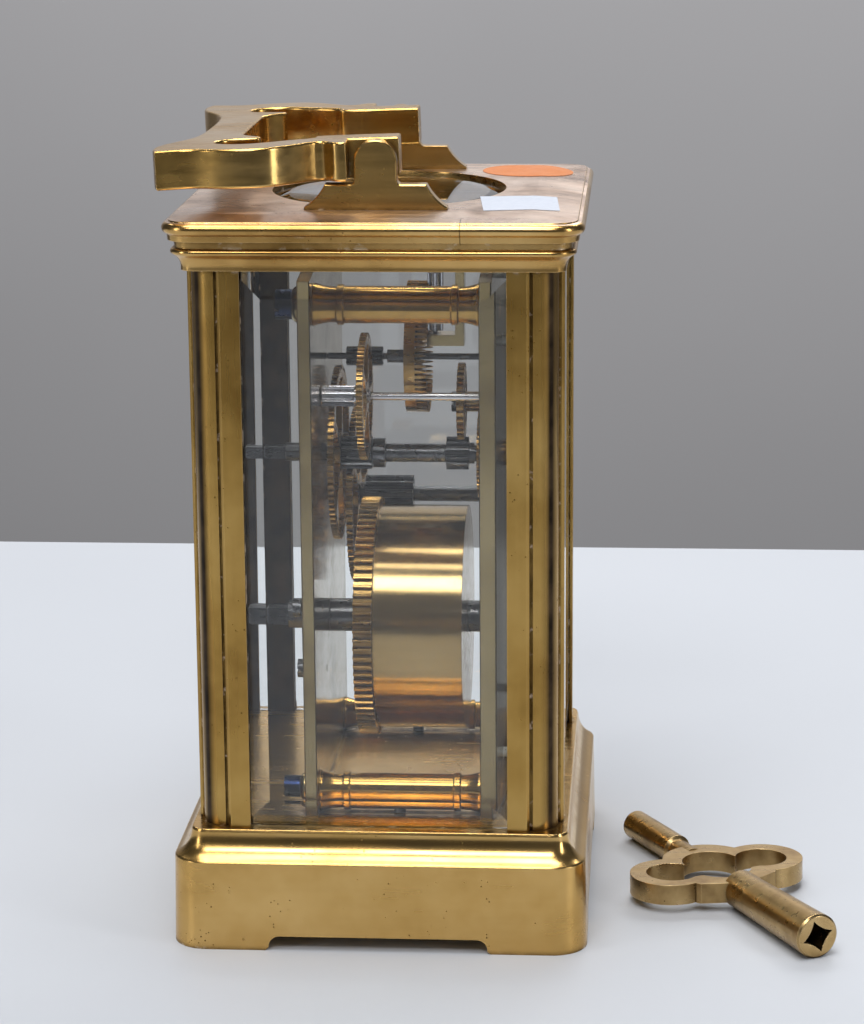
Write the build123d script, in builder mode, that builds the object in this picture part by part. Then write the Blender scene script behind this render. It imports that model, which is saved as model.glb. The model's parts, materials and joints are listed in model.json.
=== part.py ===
from build123d import *
import math
import os

os.makedirs("parts", exist_ok=True)

# ---------------------------------------------------------------------------
# Carriage clock, millimetres. +Z is up, the dial faces -Y, the door is at +Y.
# The origin is the centre of the base on the surface that it stands on.
# ---------------------------------------------------------------------------

# Case
base_x = 92.8
base_y = 82.0
band_top = 18.1
deck_top = 23.6
deck_thick = 4.0
rim_top = 144.0
case_top = 144.7
post_top = 134.4
post_x = 41.3
post_y = 36.15
post_corner = 4.9
side_opening = 25.3
front_opening = 30.0
foot_cut_side = 22.3
foot_cut_front = 28.0
foot_cut_height = 2.9
window_x = 26.8
window_y = 23.4
crown_x = 34.8
crown_y = 29.6

# Glass
glass_thick = 2.4
bevel_depth = 1.0
bevel_width = 5.4
side_glass_x = 38.0
front_glass_y = 33.0
glass_slot = 1.7
slot_play = 0.1

# Handle
pivot_z = 153.95
bar_half = 3.75
bar_top = 158.15
rest_tilt = 1.84
ear_in = 28.8
ear_out = 32.0
bracket_bevel = 0.25
pin_depth = 2.3
pin_reach = 4.6
handle_round = 0.5
ear_r = 4.1
shoulder_z = 149.6
eye_in = 22.2
eye_out = 28.6
pin_r = 1.3

# Door
door_x = 29.8
door_rear = 35.5
door_thick = 3.8
door_bar = 5.5
door_pin_x = -27.9
door_pin_r = 0.9
door_low = deck_top + 0.3
door_high = post_top - 0.3
knob_x = 27.0
knob_z = 79.0

# Movement frame: rear faces of the plates and the play of a pivot in its hole
plate_x = 31.0
plate_thick = 2.5
back_plate_y = 15.5
front_plate_y = -19.5
plate_top = 130.0
pivot_play = 0.05
pillar_x = 25.0
pillar_low_z = 27.2
pillar_high_z = 124.7
pillar_r = 2.9

# Arbor positions in the plates (x, z)
centre = (0.0, 90.6)
barrel = (0.0, 56.2)
intermediate = (16.7, 78.07)
third = (-12.8, 104.88)
contrate = (0.0, 110.6)
motion = (2.0, 100.91)

# Tooth counts
great_teeth = 84
intermediate_leaves = 12
intermediate_teeth = 72
centre_leaves = 12
centre_teeth = 80
third_leaves = 8
third_teeth = 75
contrate_leaves = 10
contrate_teeth = 64
escape_leaves = 8
escape_teeth = 15
cannon_leaves = 12
minute_teeth = 30
minute_leaves = 10
hour_teeth = 48
ratchet_teeth = 24

# Tooth proportions, in modules, and shares of the tooth pitch
wheel_share = 0.42
leaf_share = 0.38
tip_share = 0.4
addendum = 0.85
dedendum = 1.15

# Going train: rear face and front face of each wheel along Y
great_y = (6.3, 2.6)
intermediate_y = (9.5, 8.2)
centre_y = (11.5, 10.3)
third_y = (4.9, 3.6)
minute_y = (-13.5, -14.9)
hour_y = (-17.7, -18.8)
drum_r = 22.9
drum_front = -15.4
drum_wall = 1.4
cap_thick = 1.0
spring_turns = 5
winding_square = 3.6
setting_square = 2.4
square_start = 21.7
square_end = 26.2
ratchet_r = 7.4
ratchet_y = (17.2, 15.7)
click_pivot = (-9.6, 47.4)

# Contrate wheel
contrate_r = 11.3
contrate_rim = 1.3
contrate_y = (-3.4, -5.6)
crown_tip = -7.86

# Platform escapement, on top of the plates
platform_z = plate_top
platform_thick = 1.6
platform_x = 16.5
escape_y = -9.05
lever_y = -2.4
balance_y = 6.2
balance_r = 7.4
balance_z = 135.4
escape_r = 4.1

# Dial and hands
dial_y = -25.0
dial_thick = 1.2
dial_x = 27.5
dial_low = 29.0
dial_high = 128.0
hour_angle = 304.0
minute_angle = 48.0

# Winding key, lying beside the clock
key_end = (-45.1, -86.0)
key_heading = 27.7
key_length = 77.1
key_end_r = 4.5
key_tube_r = 4.0
key_small_r = 3.1
key_socket = 3.9
key_small_socket = 2.7
key_bow_half = 2.1
key_socket_tip = 3.35
key_clear = 0.01
key_socket_turn = 15.0


def toward_front(x, y, z):
    """A plane across the Y axis whose normal points to the dial side."""
    return Plane(origin=(x, y, z), x_dir=(1, 0, 0), z_dir=(0, -1, 0))


def rod(place, rear, front, radius, mode=Mode.ADD):
    """A round length along Y at (x, z), from its rear end to its front end."""
    with Locations(toward_front(place[0], rear, place[1])):
        Cylinder(
            radius,
            rear - front,
            align=(Align.CENTER, Align.CENTER, Align.MIN),
            mode=mode,
        )


def square_rod(place, rear, front, side, mode=Mode.ADD):
    """A square length along Y at (x, z)."""
    with Locations(toward_front(place[0], rear, place[1])):
        Box(
            side,
            side,
            rear - front,
            align=(Align.CENTER, Align.CENTER, Align.MIN),
            mode=mode,
        )


def upright(x, y, low, high, radius, mode=Mode.ADD):
    """A round length along Z."""
    with Locations((x, y, low)):
        Cylinder(
            radius,
            high - low,
            align=(Align.CENTER, Align.CENTER, Align.MIN),
            mode=mode,
        )


def save(builder, label):
    """Names a finished piece and writes it."""
    builder.part.label = label
    export_step(builder.part, f"parts/{label}.step")


def polar(radius, angle):
    """A point at a radius and an angle in radians."""
    return (radius * math.cos(angle), radius * math.sin(angle))


def direction(start, end):
    """The angle in degrees of the line between two arbors, seen from the front."""
    return math.degrees(math.atan2(end[1] - start[1], end[0] - start[0]))


def mesh_module(first, second, teeth, leaves):
    """The module that puts two meshed gears at the distance of their arbors."""
    return 2 * math.dist(first, second) / (teeth + leaves)


def gear(plane, teeth, module, share, phase):
    """A toothed disc: radial flanks to the pitch circle, then tapered tips."""
    pitch_r = teeth * module / 2
    tip_r = pitch_r + addendum * module
    root_r = pitch_r - dedendum * module
    half = share * math.pi / teeth
    tip_half = half * tip_share
    points = []
    for tooth in range(teeth):
        middle = math.radians(phase) + 2 * math.pi * tooth / teeth
        points += [
            polar(root_r, middle - half),
            polar(pitch_r, middle - half),
            polar(tip_r, middle - tip_half),
            polar(tip_r, middle + tip_half),
            polar(pitch_r, middle + half),
            polar(root_r, middle + half),
        ]
    with BuildSketch(plane) as disc:
        with BuildLine():
            Polyline(*points, close=True)
        make_face()
    return disc.sketch


def crossings(plane, hub_r, rim_r, spokes, width):
    """The openings between the spokes of a wheel."""
    with BuildSketch(plane) as windows:
        Circle(rim_r)
        Circle(hub_r, mode=Mode.SUBTRACT)
        with PolarLocations(0, spokes):
            Rectangle(
                rim_r + 1,
                width,
                align=(Align.MIN, Align.CENTER),
                mode=Mode.SUBTRACT,
            )
    return windows.sketch


def rounded_track(half_x, half_y, corner):
    """A closed rounded rectangle, the path of a moulding."""
    with BuildSketch() as track:
        RectangleRounded(2 * half_x, 2 * half_y, corner)
    return track.sketch.wires()[0]


def section_plane(path):
    """The plane across a moulding's path: local x points outward, local y up."""
    run = path % 0
    outward = run.cross(Vector(0, 0, 1))
    if outward.dot(path @ 0) < 0:
        outward = -outward
    return Plane(origin=path @ 0, x_dir=outward, z_dir=outward.cross(Vector(0, 0, 1)))


# ---------------------------------------------------------------------------
# Case
# ---------------------------------------------------------------------------

# Base: a flared band with a hollow moulding above it and four feet between the
# cut-outs. Offsets below are measured outward from the ledge at the posts.
band_out = 4.0
ledge_x = base_x / 2 - band_out
ledge_y = base_y / 2 - band_out
ledge_corner = 3.0
base_wall = 0.6
movement_screw_y = -3.0
base_path = rounded_track(ledge_x, ledge_y, ledge_corner)

with BuildPart() as base_moulding:
    with BuildSketch(section_plane(base_path)):
        with BuildLine():
            band = Line((band_out, 0), (band_out - 0.35, band_top - 0.3))
            lip = Line(band @ 1, (band_out - 0.6, band_top))
            hollow = ThreePointArc(lip @ 1, (1.25, 20.0), (0.25, deck_top - 0.5))
            Polyline(hollow @ 1, (0, deck_top), (-base_wall, deck_top), (-base_wall, 0), band @ 0)
        make_face()
    sweep(path=base_path)
    with BuildSketch(Plane.XY.offset(deck_top - deck_thick)):
        RectangleRounded(2 * ledge_x - 0.8, 2 * ledge_y - 0.8, ledge_corner - 0.4)
    extrude(amount=deck_thick)
    for across, half in ((Plane.YZ, foot_cut_side), (Plane.XZ, foot_cut_front)):
        with BuildSketch(across):
            with BuildLine():
                left = Polyline((-half, -1), (-half, 0), (-half + 0.7, 0.6))
                left_round = ThreePointArc(
                    left @ 1,
                    (-half + 1.2, foot_cut_height - 0.8),
                    (-half + 2.6, foot_cut_height),
                )
                Line(left_round @ 1, (half - 2.6, foot_cut_height))
                ThreePointArc(
                    (half - 2.6, foot_cut_height),
                    (half - 1.2, foot_cut_height - 0.8),
                    (half - 0.7, 0.6),
                )
                Polyline((half - 0.7, 0.6), (half, 0), (half, -1), (-half, -1))
            make_face()
        extrude(amount=base_x, both=True, mode=Mode.SUBTRACT)
    for x in (-1, 1):
        for y in (-1, 1):
            upright(36.5 * x, 33.0 * y, 0, deck_top + 1, 0.9, Mode.SUBTRACT)
        upright(pillar_x * x, movement_screw_y, 0, deck_top + 1, 1.25, Mode.SUBTRACT)
    upright(door_pin_x, door_rear - door_thick / 2, deck_top - 2, deck_top + 1, 0.95, Mode.SUBTRACT)
save(base_moulding, "base_moulding")

# Post: a flat strip on each face, a groove, and a recessed quarter column.
groove = 0.6
slot_out = side_glass_x + glass_thick + slot_play
slot_front = front_glass_y + glass_thick + slot_play


def post_outline():
    """One post's section in the +X +Y quarter of the case."""
    arc_x = post_x - 1.0 - post_corner
    arc_y = post_y - 1.0 - post_corner
    with BuildSketch(Plane.XY.offset(deck_top)) as section:
        with BuildLine():
            Polyline(
                (arc_x, post_y - 1.0),
                (arc_x, post_y - 1.4),
                (arc_x - groove, post_y - 1.4),
                (arc_x - groove, post_y - 0.5),
                (arc_x - groove - 0.5, post_y),
                (front_opening, post_y),
                (front_opening, slot_front),
                (front_opening + glass_slot, slot_front),
                (front_opening + glass_slot, front_glass_y - slot_play),
                (front_opening, front_glass_y - slot_play),
                (front_opening, 31.5),
                (36.5, 31.5),
                (36.5, side_opening),
                (side_glass_x - slot_play, side_opening),
                (side_glass_x - slot_play, side_opening + glass_slot),
                (slot_out, side_opening + glass_slot),
                (slot_out, side_opening),
                (post_x, side_opening),
                (post_x, arc_y - groove - 0.5),
                (post_x - 0.5, arc_y - groove),
                (post_x - 1.4, arc_y - groove),
                (post_x - 1.4, arc_y),
                (post_x - 1.0, arc_y),
            )
            RadiusArc((post_x - 1.0, arc_y), (arc_x, post_y - 1.0), -post_corner)
        make_face()
    return section.sketch


def post(label, side, end):
    """A post in the quarter given by the signs of X and Y."""
    with BuildPart() as column:
        extrude(post_outline(), amount=post_top - deck_top)
        upright(36.5, 33.0, deck_top - 1, deck_top + 9, 0.8, Mode.SUBTRACT)
        upright(36.5, 33.0, post_top - 9, post_top + 1, 0.8, Mode.SUBTRACT)
        if side < 0:
            mirror(about=Plane.YZ, mode=Mode.REPLACE)
        if end < 0:
            mirror(about=Plane.XZ, mode=Mode.REPLACE)
    save(column, label)


post("post_front_left", -1, -1)
post("post_front_right", 1, -1)
post("post_rear_left", -1, 1)
post("post_rear_right", 1, 1)

bracket_mid = (ear_in + ear_out) / 2
screw_reach = 9.0

# Cornice: bullnose, fillet, groove, bead and cove, with a web under the cavity
# and a top plate over it that holds the round window.
cornice_path = rounded_track(post_x, post_y, 2.4)
web_top = 136.4
roof_low = 141.5
cavity = 1.6
with BuildPart() as top_cornice:
    with BuildSketch(section_plane(cornice_path)):
        with BuildLine():
            foot = Polyline((-cavity, rim_top), (-cavity, post_top), (0.4, post_top), (0.4, 134.9))
            cove = ThreePointArc(foot @ 1, (0.75, 136.4), (1.7, 137.3))
            step = Line(cove @ 1, (2.0, 137.5))
            bead = ThreePointArc(step @ 1, (2.35, 138.05), (2.0, 138.6))
            channel = Polyline(
                bead @ 1, (1.5, 138.8), (1.6, 140.0), (2.8, 140.2), (2.9, 141.3), (3.2, 141.5)
            )
            nose = ThreePointArc(channel @ 1, (3.9, 142.5), (3.2, 143.6))
            Polyline(nose @ 1, (2.6, 143.75), (2.5, rim_top), (-cavity, rim_top))
        make_face()
    sweep(path=cornice_path)
    with BuildSketch(Plane.XY.offset(post_top)):
        RectangleRounded(2 * (post_x - cavity + 0.4), 2 * (post_y - cavity + 0.4), 1.5)
    extrude(amount=web_top - post_top)
    with BuildSketch(Plane.XY.offset(roof_low)):
        RectangleRounded(2 * (post_x - cavity + 0.4), 2 * (post_y - cavity + 0.4), 1.5)
    extrude(amount=rim_top - roof_low)
    with BuildSketch(Plane.XY.offset(rim_top)):
        RectangleRounded(2 * (post_x + 2.5), 2 * (post_y + 2.5), 4.9)
    with BuildSketch(Plane.XY.offset(case_top)):
        RectangleRounded(2 * crown_x, 2 * crown_y, 2.0)
    loft()
    with BuildSketch(Plane.XY.offset(post_top)):
        with Locations((0, -0.5)):
            RectangleRounded(67, 52, 2)
    extrude(amount=web_top - post_top, mode=Mode.SUBTRACT)
    with BuildSketch(Plane.XY.offset(roof_low)):
        Ellipse(window_x + 1.6, window_y + 1.6)
    extrude(amount=1.4, mode=Mode.SUBTRACT)
    with BuildSketch(Plane.XY.offset(roof_low)):
        Ellipse(window_x, window_y)
    extrude(amount=case_top - roof_low + 1, mode=Mode.SUBTRACT)
    for x in (-1, 1):
        for y in (-1, 1):
            upright(36.5 * x, 33.0 * y, post_top - 1, web_top + 1, 0.9, Mode.SUBTRACT)
            upright(bracket_mid * x, screw_reach * y, roof_low - 1, case_top + 1, 0.9, Mode.SUBTRACT)
    upright(door_pin_x, door_rear - door_thick / 2, post_top - 1, web_top - 0.2, 0.95, Mode.SUBTRACT)
save(top_cornice, "top_cornice")

# Screws that hold the posts between base and cornice, and the movement on the deck
with BuildPart() as case_screws:
    for x in (-36.5, 36.5):
        for y in (-33.0, 33.0):
            seat = deck_top - deck_thick
            upright(x, y, seat - 1.4, seat, 1.4)
            upright(x, y, seat, deck_top + 7, 0.75)
            upright(x, y, web_top, web_top + 1.4, 1.4)
            upright(x, y, post_top - 7, web_top, 0.75)
    for x in (-pillar_x, pillar_x):
        upright(x, movement_screw_y, seat - 1.6, seat, 2.2)
        upright(x, movement_screw_y, seat, pillar_low_z - 0.5, 1.15)
save(case_screws, "case_screws")

with BuildPart() as top_glass:
    with BuildSketch(Plane.XY.offset(roof_low)):
        Ellipse(window_x + 1.5, window_y + 1.5)
    extrude(amount=1.35)
    with BuildSketch(Plane.XY.offset(roof_low)):
        Ellipse(window_x - 0.1, window_y - 0.1)
    extrude(amount=1.7)
    with BuildSketch(Plane.XY.offset(roof_low + 1.7)):
        Ellipse(window_x - 0.1, window_y - 0.1)
    with BuildSketch(Plane.XY.offset(roof_low + 2.5)):
        Ellipse(window_x - 3.3, window_y - 3.3)
    loft()
save(top_glass, "top_glass")


def pane(plane, width, height, label):
    """A flat pane with a wide shallow bevel round its outer face."""
    with BuildPart() as sheet:
        with BuildSketch(plane):
            Rectangle(width, height)
        extrude(amount=glass_thick - bevel_depth)
        with BuildSketch(plane.offset(glass_thick - bevel_depth)):
            Rectangle(width, height)
        with BuildSketch(plane.offset(glass_thick)):
            Rectangle(width - 2 * bevel_width, height - 2 * bevel_width)
        loft()
    save(sheet, label)


pane_height = post_top - deck_top - 0.2
pane_z = (post_top + deck_top) / 2
side_width = 2 * (side_opening + glass_slot - slot_play)
front_width = 2 * (front_opening + glass_slot - slot_play)
for name, side in (("side_glass_left", -1), ("side_glass_right", 1)):
    pane(
        Plane(origin=(side * side_glass_x, 0, pane_z), x_dir=(0, 1, 0), z_dir=(side, 0, 0)),
        side_width,
        pane_height,
        name,
    )
pane(toward_front(0, -front_glass_y, pane_z), front_width, pane_height, "front_glass")

# ---------------------------------------------------------------------------
# Handle
# ---------------------------------------------------------------------------


def bracket(label, side):
    """A plate bracket: hollowed slopes, flat shoulders and a round ear."""
    foot_y = 13.7
    shoulder_y = 9.7
    with BuildPart() as plate:
        with BuildSketch(Plane.YZ.offset(ear_in)):
            with BuildLine():
                foot_line = Line((-foot_y, case_top), (foot_y, case_top))
                rise = Line(foot_line @ 1, (foot_y, case_top + 0.5))
                slope = ThreePointArc(rise @ 1, (11.4, case_top + 2.4), (shoulder_y, shoulder_z))
                shoulder = Line(slope @ 1, (ear_r + 0.8, shoulder_z))
                neck = ThreePointArc(
                    shoulder @ 1,
                    (ear_r + 0.23, shoulder_z + 0.23),
                    (ear_r, shoulder_z + 0.8),
                )
                cheek = Line(neck @ 1, (ear_r, pivot_z))
                crown = ThreePointArc(cheek @ 1, (0, pivot_z + ear_r), (-ear_r, pivot_z))
                other = Line(crown @ 1, (-ear_r, shoulder_z + 0.8))
                throat = ThreePointArc(
                    other @ 1,
                    (-ear_r - 0.23, shoulder_z + 0.23),
                    (-ear_r - 0.8, shoulder_z),
                )
                flat = Line(throat @ 1, (-shoulder_y, shoulder_z))
                fall = ThreePointArc(flat @ 1, (-11.4, case_top + 2.4), (-foot_y, case_top + 0.5))
                Line(fall @ 1, foot_line @ 0)
            make_face()
        extrude(amount=ear_out - ear_in)
        upper = plate.edges().filter_by_position(Axis.Z, case_top + 0.2, pivot_z + ear_r + 1)
        chamfer(upper.filter_by_position(Axis.X, ear_out - 0.01, ear_out + 0.01), bracket_bevel)
        with Locations(Plane(origin=(ear_in - 1, 0, pivot_z), z_dir=(1, 0, 0))):
            Cylinder(
                pin_r + 0.01,
                1 + pin_depth,
                align=(Align.CENTER, Align.CENTER, Align.MIN),
                mode=Mode.SUBTRACT,
            )
        for y in (-screw_reach, screw_reach):
            upright(bracket_mid, y, case_top - 1, case_top + 3.2, 0.8, Mode.SUBTRACT)
        if side < 0:
            mirror(about=Plane.YZ, mode=Mode.REPLACE)
    save(plate, label)


bracket("bracket_left", -1)
bracket("bracket_right", 1)

with BuildPart() as bracket_screws:
    for x in (-bracket_mid, bracket_mid):
        for y in (-screw_reach, screw_reach):
            upright(x, y, roof_low - 1.2, roof_low, 1.5)
            upright(x, y, roof_low, case_top + 3.0, 0.75)
save(bracket_screws, "bracket_screws")

with BuildPart() as handle_pins:
    for side in (-1, 1):
        with Locations(Plane(origin=(side * (eye_out - pin_reach), 0, pivot_z), z_dir=(side, 0, 0))):
            Cylinder(
                pin_r,
                pin_reach + ear_in - eye_out + pin_depth - 0.1,
                align=(Align.CENTER, Align.CENTER, Align.MIN),
            )
save(handle_pins, "handle_pins")

# Handle: cast bar of constant height, lying back over the top at rest. Its
# arms swell outside the brackets, end in lobes, and carry a waisted grip.
tilt = math.radians(rest_tilt)
handle_mid = Plane(
    origin=(0, 0, bar_top - bar_half),
    x_dir=(1, 0, 0),
    z_dir=(0, math.sin(tilt), math.cos(tilt)),
)
with BuildPart() as handle:
    with BuildSketch(handle_mid):
        with BuildLine():
            eye = Polyline((eye_in, 5.0), (eye_in, -4.3), (eye_out, -4.3), (eye_out, 5.3), (34.6, 5.3))
            knuckle = ThreePointArc(eye @ 1, (34.7, 7.0), (33.3, 8.5))
            swell = Spline(
                knuckle @ 1, (32.0, 10.4), (33.6, 12.7), (37.0, 16.0), (40.0, 19.6), (40.9, 25.0),
                (39.9, 30.0), (38.7, 34.4), (39.6, 38.2), (40.4, 40.7),
            )
            lobe = ThreePointArc(swell @ 1, (36.8, 41.6), (32.2, 41.5))
            rear = Spline(
                lobe @ 1, (26.6, 39.6), (20.4, 36.9), (10.5, 35.6), (0, 35.4),
                tangents=[lobe % 1, (-1, 0)],
            )
            Line(rear @ 1, (0, 27.2))
            front = Line((0, 27.2), (14.4, 27.2))
            horn = Spline(front @ 1, (17.4, 26.2), (19.8, 23.9), (21.4, 22.9), tangents=[(1, 0), (1, -0.3)])
            horn_end = TangentArc(horn @ 1, (22.6, 23.6), tangent=horn % 1)
            horn_back = Line(horn_end @ 1, horn_end @ 1 + (horn_end % 1) * 4.4)
            pocket = TangentArc(horn_back @ 1, (31.4, 28.6), tangent=horn_back % 1)
            Spline(
                pocket @ 1, (32.1, 25.2), (31.0, 21.4), (28.4, 17.0), (25.4, 12.0), (eye_in, 5.0),
                tangents=[pocket % 1, (0, -1)],
            )
        make_face()
    extrude(amount=bar_half, both=True)
    mirror(about=Plane.YZ)
    flats = handle.faces().sort_by(Axis((0, 0, 0), (0, math.sin(tilt), math.cos(tilt))))
    fillet(flats[-1].edges() + flats[0].edges(), handle_round)
    for side in (-1, 1):
        with Locations(Plane(origin=(side * (eye_out - pin_reach - 0.1), 0, pivot_z), z_dir=(side, 0, 0))):
            Cylinder(
                pin_r + pivot_play,
                pin_reach + 20,
                align=(Align.CENTER, Align.CENTER, Align.MIN),
                mode=Mode.SUBTRACT,
            )
save(handle, "handle")

# ---------------------------------------------------------------------------
# Rear door, turning on two pins of its own frame
# ---------------------------------------------------------------------------
door_mid_y = door_rear - door_thick / 2
door_height = door_high - door_low
door_z = (door_high + door_low) / 2
pane_lip = 1.3
with BuildPart() as door_frame:
    with BuildSketch(Plane.XY.offset(door_low)):
        with Locations(((door_pin_x + door_x) / 2, door_mid_y)):
            Rectangle(door_x - door_pin_x, door_thick)
        with Locations((door_pin_x, door_mid_y)):
            Circle(door_thick / 2)
    extrude(amount=door_height)
    opening_x = 2 * (door_x - door_bar)
    opening_z = door_height - 2 * door_bar
    with Locations((0, door_mid_y, door_z)):
        Box(opening_x, door_thick + 2, opening_z, mode=Mode.SUBTRACT)
    with Locations((0, door_rear - door_thick, door_z)):
        Box(opening_x + 2 * pane_lip, 4.8, opening_z + 2 * pane_lip, mode=Mode.SUBTRACT)
    upright(door_pin_x, door_mid_y, door_low - 1.8, door_high + 1.6, door_pin_r)
    rod((knob_x, knob_z), door_rear + 1, door_rear - door_thick - 1, 1.05, Mode.SUBTRACT)
save(door_frame, "door_frame")

with BuildPart() as door_glass:
    inner_face = toward_front(0, door_rear - 1.45, door_z)
    with BuildSketch(inner_face):
        Rectangle(opening_x + 2 * pane_lip - 0.1, opening_z + 2 * pane_lip - 0.1)
    extrude(amount=2.2)
save(door_glass, "door_glass")

with BuildPart() as door_knob:
    with BuildSketch(Plane(origin=(knob_x, 0, knob_z), x_dir=(1, 0, 0), z_dir=(0, 0, 1))):
        with BuildLine():
            Polyline(
                (0, door_rear + 4.2),
                (0, door_rear - door_thick - 0.6),
                (2.0, door_rear - door_thick - 0.6),
                (2.0, door_rear - door_thick),
                (1.0, door_rear - door_thick),
                (1.0, door_rear),
                (2.3, door_rear),
                (2.3, door_rear + 0.6),
                (1.2, door_rear + 1.3),
                (1.5, door_rear + 2.0),
                (2.5, door_rear + 2.6),
            )
            ThreePointArc((2.5, door_rear + 2.6), (2.5, door_rear + 3.4), (1.9, door_rear + 4.0))
            Line((1.9, door_rear + 4.0), (0, door_rear + 4.2))
        make_face()
    revolve(axis=Axis((knob_x, 0, knob_z), (0, 1, 0)))
save(door_knob, "door_knob")

# ---------------------------------------------------------------------------
# Movement frame
# ---------------------------------------------------------------------------
pillars = {
    "pillar_upper_left": (-pillar_x, pillar_high_z),
    "pillar_upper_right": (pillar_x, pillar_high_z),
    "pillar_lower_left": (-pillar_x, pillar_low_z),
    "pillar_lower_right": (pillar_x, pillar_low_z),
}
back_inner = back_plate_y - plate_thick
front_outer = front_plate_y - plate_thick
tenon_r = 1.8
screw_r = 1.15

barrel_journal = 2.9
barrel_pivot = 2.0
setting_r = 1.25
pipe_r = 2.6
arbor_pivots = {intermediate: 0.9, third: 0.45, contrate: 0.4}
stud_r = 1.0


def plate(label, rear_face, round_holes):
    """One movement plate with its round holes, given as ((x, z), radius)."""
    with BuildPart() as sheet:
        with BuildSketch(toward_front(0, rear_face, 0)):
            with Locations((0, (plate_top + deck_top) / 2)):
                Rectangle(2 * plate_x, plate_top - deck_top)
        extrude(amount=plate_thick)
        chamfer(sheet.edges().filter_by(Axis.Z), 0.25)
        for place, radius in round_holes:
            rod(place, rear_face + 1, rear_face - plate_thick - 1, radius, Mode.SUBTRACT)
    save(sheet, label)


pivot_holes = [(place, radius + pivot_play) for place, radius in arbor_pivots.items()]
plate(
    "back_plate",
    back_plate_y,
    pivot_holes
    + [(barrel, barrel_journal + pivot_play), (centre, setting_r + pivot_play)]
    + [(place, screw_r + 0.05) for place in pillars.values()]
    + [(click_pivot, 0.8), ((-16.0, 62.0), 0.8)],
)
plate(
    "front_plate",
    front_plate_y,
    pivot_holes
    + [(barrel, barrel_pivot + pivot_play), (centre, pipe_r + pivot_play), (motion, stud_r)]
    + [(place, tenon_r) for place in pillars.values()],
)

# Pillars: turned bars with a ring near each end and flared feet, riveted to the
# front plate and drilled for the screws of the back plate.
for name, place in pillars.items():
    with BuildPart() as pillar:
        with BuildSketch(Plane(origin=(place[0], 0, place[1]), x_dir=(1, 0, 0), z_dir=(0, 0, 1))):
            with BuildLine():
                rear_flare = Polyline((0, back_inner), (3.4, back_inner), (3.4, 12.4))
                rear_cone = ThreePointArc(rear_flare @ 1, (2.9, 10.6), (2.75, 8.3))
                bar = Polyline(
                    rear_cone @ 1,
                    (3.2, 8.1),
                    (3.2, 7.0),
                    (pillar_r, 6.8),
                    (pillar_r, -13.9),
                    (3.2, -14.1),
                    (3.2, -15.2),
                    (2.75, -15.4),
                )
                front_cone = ThreePointArc(bar @ 1, (2.9, -17.2), (3.4, -18.9))
                Polyline(
                    front_cone @ 1,
                    (3.4, front_plate_y),
                    (tenon_r, front_plate_y),
                    (tenon_r, front_outer),
                    (0, front_outer),
                    (0, back_inner),
                )
            make_face()
        revolve(axis=Axis((place[0], 0, place[1]), (0, 1, 0)))
        rod(place, back_inner + 1, back_inner - 8, screw_r, Mode.SUBTRACT)
        if place[1] == pillar_low_z:
            upright(place[0], movement_screw_y, place[1] - 4, place[1] + 1, 1.2, Mode.SUBTRACT)
    save(pillar, name)

with BuildPart() as plate_screws:
    for place in pillars.values():
        rod(place, 20.2, 17.0, 2.2)
        rod(place, 17.0, back_inner - 6, screw_r)
        with Locations(toward_front(place[0], 20.3, place[1])):
            Box(5, 0.7, 0.9, align=(Align.CENTER, Align.CENTER, Align.MIN), mode=Mode.SUBTRACT)
save(plate_screws, "plate_screws")

with BuildPart() as plate_washers:
    for place in pillars.values():
        with BuildSketch(Plane(origin=(place[0], 0, place[1]), x_dir=(1, 0, 0), z_dir=(0, 0, 1))):
            with BuildLine():
                ring = Polyline((screw_r + 0.05, 17.0), (screw_r + 0.05, back_plate_y), (2.7, back_plate_y))
                ThreePointArc(ring @ 1, (2.7, 16.4), (2.1, 17.0))
                Line((2.1, 17.0), ring @ 0)
            make_face()
        revolve(axis=Axis((place[0], 0, place[1]), (0, 1, 0)))
save(plate_washers, "plate_washers")

# ---------------------------------------------------------------------------
# Barrel and winding work
# ---------------------------------------------------------------------------
great_module = mesh_module(barrel, intermediate, great_teeth, intermediate_leaves)
great_phase = direction(barrel, intermediate)
arbor_in_wheel = 3.25
with BuildPart() as great_wheel:
    great_plane = toward_front(barrel[0], great_y[0], barrel[1])
    extrude(gear(great_plane, great_teeth, great_module, wheel_share, great_phase),
            amount=great_y[0] - great_y[1])
    rod(barrel, great_y[0] + 1, great_y[1] - 1, arbor_in_wheel + pivot_play, Mode.SUBTRACT)
save(great_wheel, "great_wheel")

with BuildPart() as barrel_drum:
    rod(barrel, great_y[1], drum_front, drum_r)
    rod(barrel, great_y[1] - 1.2, drum_front - 1, drum_r - drum_wall, Mode.SUBTRACT)
    rod(barrel, great_y[1] + 1, great_y[1] - 2, arbor_in_wheel + pivot_play, Mode.SUBTRACT)
save(barrel_drum, "barrel_drum")

with BuildPart() as barrel_cap:
    rod(barrel, drum_front + cap_thick, drum_front, drum_r - drum_wall - 0.02)
    rod(barrel, drum_front + 2, drum_front - 1, arbor_in_wheel + pivot_play, Mode.SUBTRACT)
save(barrel_cap, "barrel_cap")

# Mainspring: a ribbon wound in an even spiral between the arbor and the wall
spring_inner = 7.0
spring_outer = 20.3
ribbon = 0.8
spiral_steps = 16 * spring_turns


def spiral(first_r):
    """Points of the spiral whose first radius is first_r."""
    span = spring_outer - ribbon - spring_inner
    return [
        polar(first_r + span * step / spiral_steps, 2 * math.pi * spring_turns * step / spiral_steps)
        for step in range(spiral_steps + 1)
    ]


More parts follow.
